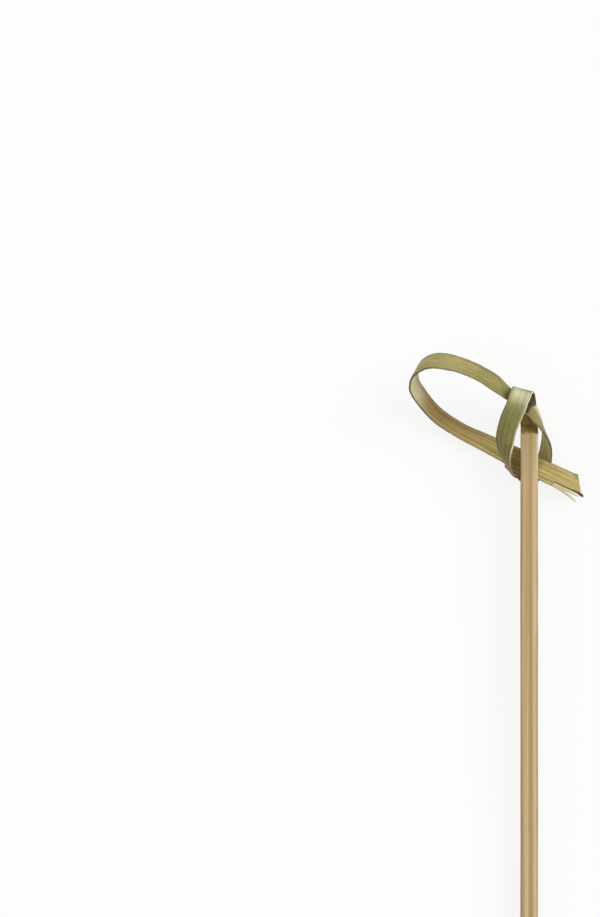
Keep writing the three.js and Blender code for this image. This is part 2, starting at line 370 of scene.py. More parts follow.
def along_tail(x):
    """The middle of the tail at a distance to the right of the stick's axis."""
    scene = bpy.context.scene
    stick, ribbon, tail = scene.stick_sizes, scene.ribbon_sizes, scene.tail_sizes
    behind = -stick.depth / 2 - ribbon.gap - ribbon.depth / 2
    return np.array([x, -tail.drop - x * math.tan(tail.slope), behind])


def ribbon_route():
    """The ribbon's stations from notch to tail: their middles, directions across and widths."""
    scene = bpy.context.scene
    stick, r, tail = scene.stick_sizes, scene.ribbon_sizes, scene.tail_sizes
    half_lean = r.width / 2 * r.lean
    layer = r.depth + r.gap
    standing = -stick.depth / 2 + r.depth / 2
    tail_pass = -stick.depth / 2 - r.gap - r.depth / 2
    foot_pass = tail_pass - half_lean - r.gap / 2
    rising_pass = tail_pass - layer - half_lean - r.gap / 2
    crossing_pass = standing + layer + half_lean
    arch_pass = crossing_pass + 2 * half_lean + layer + r.gap
    arch_middle = (standing + arch_pass) / 2
    arch_radius = (arch_pass - standing) / 2
    arch_base = r.arch_height - arch_radius
    tail_across = (math.sin(tail.slope), math.cos(tail.slope), 0)
    inset, over_cut = 0.02 * MM, 1.5 * MM
    left, right, reach = r.ring_left, r.ring_right, r.loop_reach
    arch, drop, height = r.arch_height, r.ring_drop, r.loop_height
    front, back = r.loop_front, r.loop_back
    entering = along_tail(-0.64 * left)

    def over(up, forwards, x, across):
        y, z = arch_base + up * arch_radius, arch_middle + forwards * arch_radius
        return (x * left, y, z, across)

    stations = [
        # the skin layer leaves the stick and stands up at its back
        (0, -r.root, standing + inset, (-1, 0, 0)),
        (0, r.stand, standing + inset, (-1, 0, 0)),
        # over the arch to the front
        over(0.1, -1, -0.12, (-1, 0.09, 0)),
        over(0.83, -0.77, -0.2, (-0.98, 0.17, -0.05)),
        over(1.0, 0, -0.29, (-0.95, 0.27, -0.02)),
        over(0.78, 0.76, -0.38, (-0.92, 0.36, -0.04)),
        # down the left side
        (-0.57 * left, 0.64 * arch, arch_pass, (-0.9, 0.38, -0.2)),
        (-0.84 * left, 0.25 * arch, 0.6 * arch_pass, (-0.92, 0.2, -0.35)),
        (-0.99 * left, -0.15 * drop, 0.2 * arch_pass, (-0.84, 0.05, -0.52)),
        (-0.99 * left, -0.48 * drop, -0.1 * tail_pass, (-0.47, 0.1, -0.87)),
        (-0.8 * left, -0.84 * drop, 0.6 * tail_pass, (-0.04, 0.08, -0.99)),
        # round the foot, behind the stick
        (-0.52 * left, -0.91 * drop, foot_pass + r.gap, (-0.3, 0.58, -0.76)),
        (-0.17 * left, -drop, foot_pass - r.gap, (-0.42, 0.62, -0.66)),
        (0.35 * right, -0.94 * drop, rising_pass, (-0.5, 0.5, -0.7)),
        # up the right side
        (0.81 * right, -0.72 * drop, rising_pass, (-0.6, 0.32, -0.72)),
        (right, -0.4 * drop, 0.8 * rising_pass, (-0.5, 0.35, -0.8)),
        (0.99 * right, -0.12 * drop, 0.4 * rising_pass, (-0.33, 0.5, -0.8)),
        (0.76 * right, 0.13 * arch, 0.2 * crossing_pass, (-0.08, 0.52, -0.85)),
        # across the front of the standing skin layer and through the arch
        (0.4 * right, 0.36 * arch, 0.95 * crossing_pass, (0.17, 0.6, -0.78)),
        (0.05 * right, 0.55 * arch, 1.2 * crossing_pass, (0.28, 0.58, -0.76)),
        (-0.42 * left, 0.71 * arch, 1.45 * crossing_pass, (0.28, 0.5, -0.81)),
        (-0.88 * left, 0.92 * arch, 0.36 * front, (0.2, 0.54, -0.81)),
        # the upper limb of the loop
        (-0.31 * reach, 0.71 * height, 0.67 * front, (0.26, 0.7, -0.66)),
        (-0.5 * reach, 0.88 * height, front, (0.19, 0.72, -0.67)),
        (-0.71 * reach, 0.99 * height, 0.92 * front, (0.2, 0.73, -0.65)),
        (-0.87 * reach, height, 0.46 * front, (0.28, 0.7, -0.65)),
        # round its far end
        (-0.98 * reach, 0.88 * height, 0.05 * front, (0.38, 0.68, -0.63)),
        (-reach, 0.7 * height, -0.32 * back, (0.4, 0.66, -0.63)),
        (-0.93 * reach, 0.51 * height, -0.68 * back, (0.4, 0.64, -0.65)),
        # the lower limb of the loop
        (-0.79 * reach, 0.26 * height, -0.97 * back, (0.4, 0.6, -0.68)),
        (-0.585 * reach, 0.04 * height, -back, (0.46, 0.58, -0.67)),
        (-0.41 * reach, -0.23 * tail.drop, -0.82 * back, (0.5, 0.66, -0.56)),
        (-0.27 * reach, -0.49 * tail.drop, -0.7 * back, (0.5, 0.74, -0.4)),
        # behind the stick and out as the tail
        (-0.64 * left, entering[1] + r.gap / 2, 1.75 * tail_pass, (0.45, 0.88, -0.15)),
        (0, -tail.drop, tail_pass, tail_across),
        (*along_tail(right), tail_across),
        (*along_tail(tail.reach + over_cut), tail_across),
    ]
    middles = np.array([s[:3] for s in stations])
    across = unit(np.array([s[3] for s in stations]))
    widths = np.full((len(stations), 1), r.width)
    widths[:2] = stick.width - 2 * inset
    return middles, across, widths


# The colouring along the ribbon's sides and cut edges, as pairs of station and share: how far it
# has dried or browned; its pale bloom or freshness, partly painted highlights and painted light;
# its darkening, mostly painted shade in and under the knot, with edges partly browned.
AGED = {
    "skin": (
        (0, 0.5), (3, 0.3), (5, 0.1), (8, 0.12), (10, 0.3), (16, 0.8), (19.6, 0.9), (20.4, 0.3),
        (21.5, 0.1), (22.5, 0.3), (23.5, 0.65), (25, 0.75), (28, 0.6), (36, 0.6),
    ),
    "flesh": (
        (0, 0.1), (2, 0.2), (12, 0.5), (14, 0.15), (16, 0), (17, 0.3), (25.5, 0.45), (27, 0.3),
        (28, 0.75), (29, 0.8), (30.2, 0.52), (31.2, 0.18), (32, 0.18), (33.2, 0.35), (34.3, 0.4),
        (34.8, 0.1), (36, 0),
    ),
    "near edge": ((0, 0.5), (36, 0.5)),
    "far edge": ((0, 0.5), (36, 0.5)),
}
# painted highlights: skin 4.2 to 7 on the arch's top, flesh 25.5 to 28.8 as a sheen inside the
# loop's far end, near edge 3.6 to 9.6 along the arch's cut edge; flesh 13 to 17 is painted light on
# the shaded right pass; the rest is waxy bloom and fresh cut
BLOOM_AND_PAINTED_LIGHT = {
    "skin": (
        (0, 0), (4.2, 0), (4.7, 0.6), (5.2, 0.9), (5.6, 0.6), (6, 0.15), (7, 0), (22.6, 0),
        (24, 0.15), (25.6, 0.1), (36, 0),
    ),
    "flesh": (
        (0, 0), (13, 0), (14.5, 0.3), (16, 0.3), (17, 0), (25.5, 0), (26.2, 1), (27.7, 0.8),
        (28.4, 0.1), (28.8, 0), (36, 0),
    ),
    "near edge": (
        (0, 0.1), (3.6, 0.2), (4.2, 1), (8.2, 1), (8.9, 0.4), (9.6, 0.1), (30, 0.1), (36, 0.5),
    ),
    "far edge": ((0, 0.1), (36, 0.1)),
}
# painted shade: skin 3 to 4.7 at the arch's top, 6.6 to 16 down the left pass and round the foot,
# 16 to 22 in the hollow under the arch; flesh 1.5 to 15 under the arch and down its left side, and
# 33 to 34.75 the stick's shadow on the tail; the edges are partly browned, partly painted shade
PAINTED_SHADE_AND_BROWNED_EDGES = {
    "skin": (
        (0, 0), (3.2, 0.3), (4.2, 0.35), (4.7, 0), (6.6, 0.03), (8, 0.23), (9, 0.45), (10.5, 0.42),
        (12, 0.2), (16, 0.07), (17, 0.3), (20, 0.38), (21.3, 0.1), (22, 0), (36, 0),
    ),
    "flesh": (
        (0, 0), (1.5, 0.05), (2, 0.85), (4.8, 0.96), (5.3, 0.2), (11, 0.2), (14, 0.1), (15, 0),
        (33, 0), (34, 0.12), (34.45, 0.35), (34.75, 0), (36, 0),
    ),
    "near edge": (
        (0, 0.4), (3.6, 0.3), (4.1, 0), (8.6, 0), (9.3, 0.4), (12, 0.8), (17, 0.75), (19, 0.3),
        (21, 0.4), (24, 0.45), (25, 0.8), (28.5, 0.8), (30, 0.2), (36, 0.2),
    ),
    "far edge": (
        (0, 0.4), (4, 0.5), (6, 0.7), (11, 0.8), (16, 0.2), (20, 0.3), (22, 0.6), (34, 0.7),
        (36, 0.6),
    ),
}


def by_station(table, place):
    """The value at a place along the ribbon's route."""
    stations, values = zip(*table)
    return np.interp(place, stations, values)


def make_ribbon():
    """The ribbon from the notch through its knot and round its loop to the cut end of its tail."""
    scene = bpy.context.scene
    r, tail = scene.ribbon_sizes, scene.tail_sizes
    stations, turns, station_widths = ribbon_route()
    spans = len(stations) - 1
    places = np.linspace(0, spans - 1, (spans - 1) * RINGS_PER_STATION + 1)
    shares = places / spans
    middles, forwards, across = walk(stations, shares, 1e-4, curve_through(turns, shares))
    widths = curve_through(station_widths, shares, 0)[:, 0]

    run = unit(along_tail(1) - along_tail(0))
    tail_across = across[-1]
    tail_length = np.linalg.norm(along_tail(tail.reach) - along_tail(r.ring_right))
    steps = np.linspace(0, tail_length, TAIL_RINGS + 1)[1:]
    middles = np.vstack([middles, middles[-1] + np.outer(steps, run)])
    forwards = np.vstack([forwards, np.tile(run, (TAIL_RINGS, 1))])
    across = np.vstack([across, np.tile(tail_across, (TAIL_RINGS, 1))])
    widths = np.concatenate([widths, np.full(TAIL_RINGS, r.width)])
    places = np.concatenate([places, places[-1] + steps / tail_length])

    # beyond its root the split has let the lower edge go
    along = np.concatenate([[0], np.cumsum(np.linalg.norm(np.diff(middles, axis=0), axis=1))])
    split = along - (along[-1] - tail.split_length / math.cos(tail.slope))
    turn = math.atan2(tail.split_mouth, tail.split_length) / 2
    let_go = (tail.sliver_width - split * math.tan(turn)) * rise(split, 0, 0.15 * MM)
    nicks = r.fray * (relief(along / MM / 1.3, 0, 11) * relief(along / MM / 0.4, 0, 12))
    # where the ribbon turns under the ring its far edge is drawn in
    drawn_in = 0.17 * MM * between(places, 9.6, 10.2, 10.5, 11)
    lows = np.maximum(let_go, 0) + nicks * (split < 0) - drawn_in

    surface, section = Surface(), Strip(34)
    flesh, cut = section.is_flesh, section.is_edge
    skin = ~flesh & ~cut
    near, far = cut & (section.bulge < 0), cut & (section.bulge > 0)
    sides = {"near edge": near, "far edge": far, "flesh": flesh, "skin": skin}

    def paint(i, x, low):
        here = places[i]
        x, low = x / MM, low / MM
        aged, bloom, dark = (
            np.select(list(sides.values()), [by_station(table[side], here) for side in sides])
            for table in (AGED, BLOOM_AND_PAINTED_LIGHT, PAINTED_SHADE_AND_BROWNED_EDGES)
        )
        # painted light: the pass that rises to the arch is painted pale to the right, where light
        # falls, and painted shade darkens it where it goes under the arch
        rising = skin * between(here, 15.8, 16.8, 19.4, 20.2)
        bloom = np.maximum(bloom, 0.92 * rising * rise(x, 0.3, 1.3))
        dark = dark * (1 - rising * rise(x, 0.2, 1.2))
        sooner = 0.16 * rise(x, 0.2, 1.3)
        dark = np.maximum(dark, skin * rise(here + sooner, 18.9, 19.16) * rise(-here, -21, -20.3))
        # painted highlight: the arch has a paler border next to its cut edge; the tail's end has a
        # darker upper corner
        highlight_border = skin * between(here, 4.2, 4.8, 7.6, 8.6) * rise(-x, 1.05, 1.4)
        bloom = np.maximum(bloom, 0.65 * highlight_border)
        dark = np.maximum(dark, 0.4 * flesh * rise(here, 35.7, 35.95) * rise(x, 0.5, 1.4))
        # painted sheen: at the loop's far end the pale sheen on the flesh is strongest next to the
        # outer edge
        if 25 < here < 29:
            bloom = bloom * np.where(flesh, 1 - 0.7 * rise(x, 0.2, 1.3), 1)
        # painted shade: the split has a darkened lip, standing in for the shade inside the narrow
        # crack
        lip = rise(split[i], -0.6 * MM, 0.3 * MM) * rise(low + 0.3 - x, 0, 0.12)
        dark = np.maximum(dark, 0.8 * lip * flesh)
        return np.stack([aged, bloom, dark], 1)

    widths = widths - nicks - 2 * drawn_in
    depths = np.full(len(middles), r.depth)
    section.sweep(
        surface, middles, across, forwards, widths, depths, lows, r.groove, r.edge, paint, 21, end=2
    )
    # the end is cut at a slant, a little ragged from fibre to fibre
    square = np.array([math.cos(tail.cut_slant), math.sin(tail.cut_slant), 0])
    for step, points in zip(steps / tail_length, surface.points[-TAIL_RINGS:]):
        aside = (points - (along_tail(r.ring_right) + run * step * tail_length)) @ tail_across
        over = -aside * (tail_across @ square) / (run @ square)
        ragged = 0.22 * MM * (relief(aside / MM / 0.18 + 7, 0.5, 31) - 0.5)
        points += np.outer(step * over + rise(step, 0.7, 1) * ragged, run)
    return surface.build("knotted_ribbon", ribbon_finishes())


def make_strand(surface, places, widths, depths, across, colouring, seed, columns, rings):
    """A thin strand of split bamboo through the places, its colouring as pairs from root to tip."""
    shares = np.linspace(0, 1, rings)
    middles, forwards, across = walk(places, shares, 1e-3, across)
    section = Strip(columns, 2)
    width = curve_through(np.reshape(widths, (-1, 1)), shares, 0)[:, 0]
    depth = curve_through(np.reshape(depths, (-1, 1)), shares, 0)[:, 0]

    def paint(i, x, low):
        return np.tile([np.interp(shares[i], (0, 1), pair) for pair in colouring], (len(x), 1))

    edge = min(np.min(width), np.min(depth)) / 4
    lows, groove = 0 * width, 0.05 * np.min(depth)
    section.sweep(
        surface, middles, across, forwards, width, depth, lows, groove, edge, paint, seed
    )


def make_splinters():
    """The splinter that springs away below the split, the skin's dark tip and loose fibres."""
    scene = bpy.context.scene
    r, tail = scene.ribbon_sizes, scene.tail_sizes
    run = unit(along_tail(1) - along_tail(0))
    down = np.array([-math.sin(tail.slope), -math.cos(tail.slope), 0])
    front = np.array([0, 0, 1.0])
    root = along_tail(tail.reach - tail.split_length) + down * (r.width / 2 - tail.sliver_width / 2)
    surface = Surface()

    def leaving(along, spread, aside, out):
        fall = along * math.sin(spread) + aside
        return root + run * along * math.cos(spread) + down * fall + front * out

    # one strand springs away as its tip narrows, the other stays close under the split's lip
    w, d, reach = tail.sliver_width, tail.sliver_depth, tail.sliver_length
    for spread, width, aside, out, seed in (
        (tail.sliver_spread, 0.62 * w, 0.16 * w, 0, 41),
        (0.22 * tail.sliver_spread, 0.55 * w, -0.16 * w, -0.05 * MM, 42),
    ):
        bends = ((0, 0), (0.3, 0.45), (0.6, 0.68), (0.85, 0.88), (1, 1))
        places = [leaving(along * reach, turn * spread, aside, out) for along, turn in bends]
        places.insert(0, leaving(-1.2 * MM, 0, aside, out))
        widths = np.array([0.9, 1, 1.05, 1, 0.7, 0.25]) * width
        depths = np.array([1, 1, 0.95, 0.9, 0.7, 0.4]) * d
        fresh = ((0, 0), (0.2, 0.8), (0, 0.05))
        make_strand(surface, places, widths, depths, -down, fresh, seed, columns=12, rings=60)

    # the skin's tip at the lower corner of the cut
    lip = r.width / 2 - tail.sliver_width + tail.split_mouth / 2
    corner = along_tail(tail.reach) + down * lip + run * lip * math.tan(tail.slope + tail.cut_slant)
    places = [
        corner + front * 0.12 * MM + run * ahead * MM + down * below * MM
        for ahead, below in ((-1.6, -0.3), (-0.8, -0.22), (-0.1, -0.12), (0.35, 0.02))
    ]
    widths = np.array([0.12, 0.32, 0.46, 0.22]) * MM
    depths = np.array([0.14, 0.16, 0.16, 0.1]) * MM
    browned = ((1, 1), (0, 0), (0.5, 1))
    make_strand(surface, places, widths, depths, -down, browned, seed=43, columns=7, rings=30)

    # loose fibres at the cut end and at the split
    random = np.random.RandomState(5)
    dry = ((0.2, 0.2), (0.3, 0.6), (0, 0.2))
    for k in range(6):
        aside = (k / 5 - 0.35) * 0.8 * r.width
        start = along_tail(tail.reach) - down * aside - run * (0.64 * aside + 0.45 * MM)
        start = start + front * random.uniform(-0.1, 0.1) * MM
        reach = random.uniform(0.5, 0.95) * MM
        bend = random.uniform(-0.12, 0.12) * MM
        end = start + run * reach + down * bend + front * abs(bend)
        places = [start, start + run * 0.5 * reach, end]
        thin = random.uniform(0.05, 0.08) * MM
        sizes = [thin, thin, 0.5 * thin]
        make_strand(surface, places, sizes, sizes, -down, dry, seed=50 + k, columns=4, rings=10)
    return surface.build("tail_splinters", splinter_finishes())


def stick_section():
    """Points round the stick: place on the flats, way out at the rounding, and side."""
    rows = []
    sides = (
        ((1, 0), (0, 1), 27, 0),  # flesh face, walked from its right edge to its left
        ((0, 1), (-1, 0), 15, 1),
        ((-1, 0), (0, -1), 27, 2),
        ((0, -1), (1, 0), 15, 1),
    )
    for (ux, uz), (ox, oz), count, kind in sides:
        for t in np.linspace(1, -1, count):
            rows.append((ux * t + ox, uz * t + oz, ox, oz, kind))
        nx, nz = -ux, -uz
        for turn in (0.3, 0.7):
            c, s = math.cos(turn * math.pi / 2), math.sin(turn * math.pi / 2)
            rows.append((nx + ox, nz + oz, ox * c + nx * s, oz * c + nz * s, 1))
    return np.array(rows)


def make_stick():
    """The stick, with its fibre grooves, its four-sided point and the sloping cut of the notch."""
    s = bpy.context.scene.stick_sizes
    r = bpy.context.scene.ribbon_sizes
    fx, fz, ox, oz, kind = stick_section().T
    shoulder = -s.length + s.point_length
    body = shoulder + s.point_shoulder
    below_cut = -4 * MM  # from here up the rings lean more and more with the cut at the head
    heights = np.concatenate([
        np.linspace(-s.length, shoulder, 34)[:-1],
        np.linspace(shoulder, body, 18)[:-1],
        np.linspace(body, below_cut, 300)[:-1],
        np.linspace(below_cut, 0, 26),
    ])
    narrow = 1 - s.shoulder_narrowing / s.width
    marks = (-s.length, shoulder, body)
    widths = np.interp(heights, marks, (s.point_end, s.width * narrow, s.width))
    depths = np.interp(heights, marks, (s.point_end, s.depth * narrow, s.depth))
    slope = s.notch_rise / (s.depth - r.depth)
    surface, rings = Surface(), []

    def colouring(y, x, z):
        browned = rise(-y, s.length - 12 * MM, s.length - 8 * MM)
        ragged = 1.2 * MM * relief(x / MM / 0.35 + 5, z / MM / 0.6 + 5, 61)
        tip = rise(-y, s.length - 3.6 * MM - ragged, s.length - 2.4 * MM - ragged)
        # painted shade: the head mark in the second channel darkens the face toward the knot,
        # partly shade under the knot and partly its olive tone; on the sides and skin it pales them
        head = rise(y, -9 * MM, -1 * MM)
        return np.stack([0.45 * browned, 0.8 * head, 0.8 * tip], 1)

    for y, width, depth in zip(heights, widths, depths):
        rounding = min(s.rounding, width / 5, depth / 5)
        at = y / MM
        x = fx * (width / 2 - rounding) + ox * rounding
        z = fz * (depth / 2 - rounding) + oz * rounding
        around = np.where(np.abs(ox) > np.abs(oz), z, x) / MM + 11 * kind
        body_share = min(1, width / s.width) ** 2
        fibres = 0.6 * relief(around / 0.17, at / 11, 71) + 0.4 * relief(around / 0.45, at / 26, 72)
        fibres = fibres * np.where(kind == BARK, 0.15, 1)
        dents = relief(around / 0.9, at / 5, 73) ** 2
        inward = s.groove * (fibres + 0.35 * dents) * body_share
        x, z = x - ox * inward, z - oz * inward
        sway = 0.07 * MM * (relief(at / 17, 3, 74) - 0.5) * body_share * rise(-y, 2 * MM, 12 * MM)
        ragged = 0.4 * MM * (relief(x / MM / 0.3 + 3, z / MM / 0.3 + 3, 75) - 0.5)
        ys = y + rise(y, below_cut, 0) * (slope * (s.depth / 2 - z) + ragged)
        points = np.stack([x + sway, ys, z], 1)
        lay = np.stack([x / MM, ys / MM, z / MM], 1)
        rings.append(surface.ring(points, lay, colouring(ys, x, z)))
    surface.wall(rings, np.where(kind == np.roll(kind, -1), kind, SIDE))

    # the cut at the head and the blunt end of the point, as ever smaller rings to their middles
    for outer, ragged, upwards in ((rings[-1], 0.1 * MM, True), (rings[0], 0, False)):
        start = np.concatenate(surface.points)[outer]
        middle = start.mean(0)
        inner = [outer]
        for shrink in (0.86, 0.68, 0.48, 0.26, 0.08):
            points = middle + (start - middle) * shrink
            rough = relief(points[:, 0] / MM / 0.16 + 3, points[:, 2] / MM / 0.16 + 3, 76) - 0.5
            points[:, 1] += ragged * rough
            lay = points[:, (0, 2, 1)] / MM
            inner.append(surface.ring(points, lay, np.tile((0.5, 0, 0.1), (len(points), 1))))
        if not upwards:
            inner = [ring[::-1] for ring in inner]
        surface.wall(inner, [CUT] * len(outer))
        surface.face(inner[-1], CUT)
    return surface.build("split_stick", stick_finishes())


class Sheet:
    """A node tree being drawn afresh, a material's or a group's."""

    def __init__(self, tree):
        self.tree = tree
        tree.nodes.clear()

    def node(self, kind, settings=None, **inputs):
        """A node with its settings and inputs; an input is a value or another node's socket."""
        made = self.tree.nodes.new("ShaderNode" + kind)
        for name, value in (settings or {}).items():
            setattr(made, name, value)
        for name, value in inputs.items():
            numbered = name[0] == "i" and name[1:].isdigit()
            socket = made.inputs[int(name[1:]) if numbered else name.replace("_", " ")]
            if isinstance(value, bpy.types.NodeSocket):
                self.tree.links.new(value, socket)
            else:
                socket.default_value = value
        return made

    def mix(self, amount, low, high):
        """One colour over another."""
        low, high = (c if isinstance(c, bpy.types.NodeSocket) else (*c, 1) for c in (low, high))
        mixed = self.node("Mix", {"data_type": "RGBA"}, i0=amount, i6=low, i7=high)
        return mixed.outputs[2]

    def math(self, way, first, second=0.0, clamp=False):
        """A calculation with two numbers."""
        settings = {"operation": way, "use_clamp": clamp}
        return self.node("Math", settings, i0=first, i1=second).outputs[0]

    def span(self, value, low, high, to_low=0.0, to_high=1.0):
        """A value's range spread over another, softly."""
        return self.node(
            "MapRange", {"interpolation_type": "SMOOTHSTEP"},
            Value=value, From_Min=low, From_Max=high, To_Min=to_low, To_Max=to_high,
        ).outputs[0]

    def cells(self, lay, across, along):
        """The lay counted in cells of a size across and along the bamboo."""
        cell = self.node("CombineXYZ", X=across, Y=along, Z=across).outputs[0]
        return self.node("VectorMath", {"operation": "DIVIDE"}, i0=lay, i1=cell).outputs[0]

    def noise(self, place, scale, detail, roughness):
        """Random heights round a half."""
        return self.node(
            "TexNoise", Vector=place, Scale=scale, Detail=detail, Roughness=roughness
        ).outputs[0]


def group(name, numbers, outputs, draw):
    """A node group that takes the lay and named numbers and gives out named masks, made once."""
    tree = bpy.data.node_groups.get(name)
    if tree is None:
        tree = bpy.data.node_groups.new(name, "ShaderNodeTree")
        tree.interface.new_socket("Lay", in_out="INPUT", socket_type="NodeSocketVector")
        for label, value in numbers.items():
            socket = tree.interface.new_socket(label, in_out="INPUT", socket_type="NodeSocketFloat")
            socket.default_value = value
        for label in outputs:
            tree.interface.new_socket(label, in_out="OUTPUT", socket_type="NodeSocketFloat")
        sheet = Sheet(tree)
        entry, leave = tree.nodes.new("NodeGroupInput"), tree.nodes.new("NodeGroupOutput")
        for label, socket in draw(sheet, entry.outputs).items():
            tree.links.new(socket, leave.inputs[label])
    return tree


def long_grain():
    """Fibres along the bamboo: fine lines, and the broad bands that they lie in."""

    def draw(sheet, given):
        cells = sheet.cells(given["Lay"], given["Fibre Width"], given["Fibre Length"])
        return {
            "Fibres": sheet.span(sheet.noise(cells, 1.0, 3.0, 0.62), 0.36, 0.66),
            "Bands": sheet.span(sheet.noise(cells, 0.21, 2.0, 0.5), 0.36, 0.64),
        }

    numbers = {"Fibre Width": 0.12, "Fibre Length": 6.0}
    return group("Lengthwise grain", numbers, ("Fibres", "Bands"), draw)


def mottling():
    """Blotches and small specks where the bamboo has dried unevenly."""

    def draw(sheet, given):
        cells = sheet.cells(given["Lay"], given["Blotch"], given["Blotch"])
        return {
            "Blotches": sheet.span(sheet.noise(cells, 1.0, 3.0, 0.6), 0.4, 0.68),
            "Specks": sheet.span(sheet.noise(cells, 5.0, 1.0, 0.5), 0.6, 0.74),
        }

    return group("Mottling", {"Blotch": 1.2}, ("Blotches", "Specks"), draw)


# the edges it marks are darkened by the finishes, partly as wear and partly as painted shade
def edge_wear_and_shade():
    """How near a place is to the strip's two long edges, broken up along them."""

    def draw(sheet, given):
        across = sheet.node("SeparateXYZ", Vector=given["Lay"]).outputs[0]
        uneven = sheet.math("ADD", sheet.noise(given["Lay"], 1.6, 2.0, 0.6), 0.5)
        reach = sheet.math("MULTIPLY", given["Reach"], uneven)
        inner = sheet.math("SUBTRACT", given["Half Width"], reach)
        worn = sheet.span(sheet.math("ABSOLUTE", across), inner, given["Half Width"])
        far = sheet.math("MULTIPLY", worn, sheet.span(across, -0.1, 0.1))
        return {"Edges": worn, "Far Edge": far}

    return group("Edge wear and shade", {"Half Width": 1.55, "Reach": 0.3}, ("Edges", "Far Edge"), draw)


class Finish(Sheet):
    """A bamboo material being drawn: its base colour, and masks of its grain, mottling and edges,
    whose darkening is partly wear and partly painted shade.
    """

    def __init__(
        self, name, base, fibre_width, fibre_length, blotch, half_width=NO_EDGES, edge_reach=0.3
    ):
        self.material = bpy.data.materials.new(name)
        self.material.use_nodes = True
        super().__init__(self.material.node_tree)
        self.base = base
        self.lay, marks = (
            self.node("Attribute", {"attribute_name": label}).outputs["Vector"]
            for label in ("lay", "colouring")
        )
        marks = self.node("SeparateXYZ", Vector=marks)
        self.aged, self.bloom, self.dark = marks.outputs[:]
        self.fibres, self.bands = self.masks(
            long_grain(), Fibre_Width=fibre_width, Fibre_Length=fibre_length
        )
        self.blotches, self.specks = self.masks(mottling(), Blotch=blotch)
        self.edges, self.far_edge = self.masks(edge_wear_and_shade(), Half_Width=half_width, Reach=edge_reach)

    def masks(self, tree, **numbers):
        """What a node group gives out for this material's lay."""
        return self.node("Group", {"node_tree": tree}, Lay=self.lay, **numbers).outputs[:]

    def part(self, mask, amount):
        """A share of a mask."""
        return self.math("MULTIPLY", mask, amount)

    def swing(self, mask, amount):
        """A mask from 0 to 1 turned into a number half of amount below or above 0."""
        return self.part(self.math("SUBTRACT", mask, 0.5), amount)

    def tint(self, mask, amount, colour):
        """Lays a colour over the base by a share of a mask."""
        self.base = self.mix(self.part(mask, amount), self.base, colour)

    def done(self, smoothest, roughest, relief_height, specular=0.5):
        """Closes the material with its shader: roughness and relief follow the fibres."""
        rough = self.span(self.fibres, 0, 1, smoothest, roughest)
        bump = self.node("Bump", Strength=0.6, Distance=relief_height, Height=self.fibres)
        shader = self.node(
            "BsdfPrincipled", Base_Color=self.base, Roughness=rough,
            Normal=bump.outputs[0], Specular_IOR_Level=specular,
        )
        self.node("OutputMaterial", Surface=shader.outputs[0])
        return self.material


def skin_finish(name, half_width, dryness=0.0):
    """The bamboo's smooth outer skin: green to tan, satin, with a pale bloom and painted
    highlights, browned edges that are partly painted shade, and painted shade from its colouring.
    """
    c = bpy.context.scene.bamboo_colours
    f = Finish(
        name, c.skin_green, fibre_width=0.17, fibre_length=8.0, blotch=1.1, half_width=half_width,
        edge_reach=0.4,
    )
    f.tint(f.fibres, 0.7, c.skin_olive)
    dried = f.math("ADD", f.math("ADD", f.aged, dryness), f.swing(f.bands, 0.5), True)
    f.tint(dried, 1, c.skin_tan)
    f.tint(f.fibres, 0.4, c.fibre)
    f.tint(f.blotches, 0.3, c.skin_olive)
    # painted highlight: the pale share paints the arch's top, the border by its cut edge and the
    # lit right side of the rising pass, and the waxy bloom elsewhere, broken by the bands
    banded_bloom_and_highlight = f.math("MULTIPLY", f.bloom, f.math("ADD", f.part(f.bands, -0.45), 1.0), True)
    f.tint(banded_bloom_and_highlight, 1, c.skin_bloom)
    # the edges are darker, partly browned and partly painted shade where the strip turns away
    f.tint(f.edges, 0.4, c.skin_olive)
    f.tint(f.far_edge, 0.6, c.dark)
    f.tint(f.specks, 0.25, c.fibre)
    # painted shade from the colouring: the arch's top, the lower left pass, the foot and the hollow
    # under the arch
    f.tint(f.dark, 1, c.dark)
    return f.done(smoothest=0.44, roughest=0.6, relief_height=0.012 * MM, specular=0.25)


def flesh_finish(name, light, mid, fibre_share=0.56, half_width=NO_EDGES):
    """The split face: long fibres in tan bands, browner where it has aged."""
    c = bpy.context.scene.bamboo_colours
    f = Finish(
        name, light, fibre_width=0.13, fibre_length=7.0, blotch=0.9, half_width=half_width,
        edge_reach=0.5,
    )
    f.tint(f.bands, 1, mid)
    f.tint(f.fibres, fibre_share, c.fibre)
    f.tint(f.math("ADD", f.aged, f.swing(f.bands, 0.35), True), 1, c.flesh_brown)
    f.tint(f.blotches, 0.22, c.skin_tan)
    # painted sheen and light: the pale tint paints the sheen inside the loop's far end and lightens
    # the shaded right pass; on the splinters it pales them toward the tip and on the stick's sides
    # toward the head
    f.tint(f.bloom, 0.85, c.skin_bloom)
    # the far edge is darker olive, partly browned and partly painted shade
    f.tint(f.far_edge, 0.65, c.skin_olive)
    f.tint(f.specks, 0.2, c.fibre)
    # painted shade from the colouring: under the arch, down its left side and the stick's shadow on
    # the tail; on the stick and splinters it darkens the point and the skin's tip
    f.tint(f.dark, 1, c.dark)
    return f.done(smoothest=0.5, roughest=0.72, relief_height=0.03 * MM, specular=0.3)


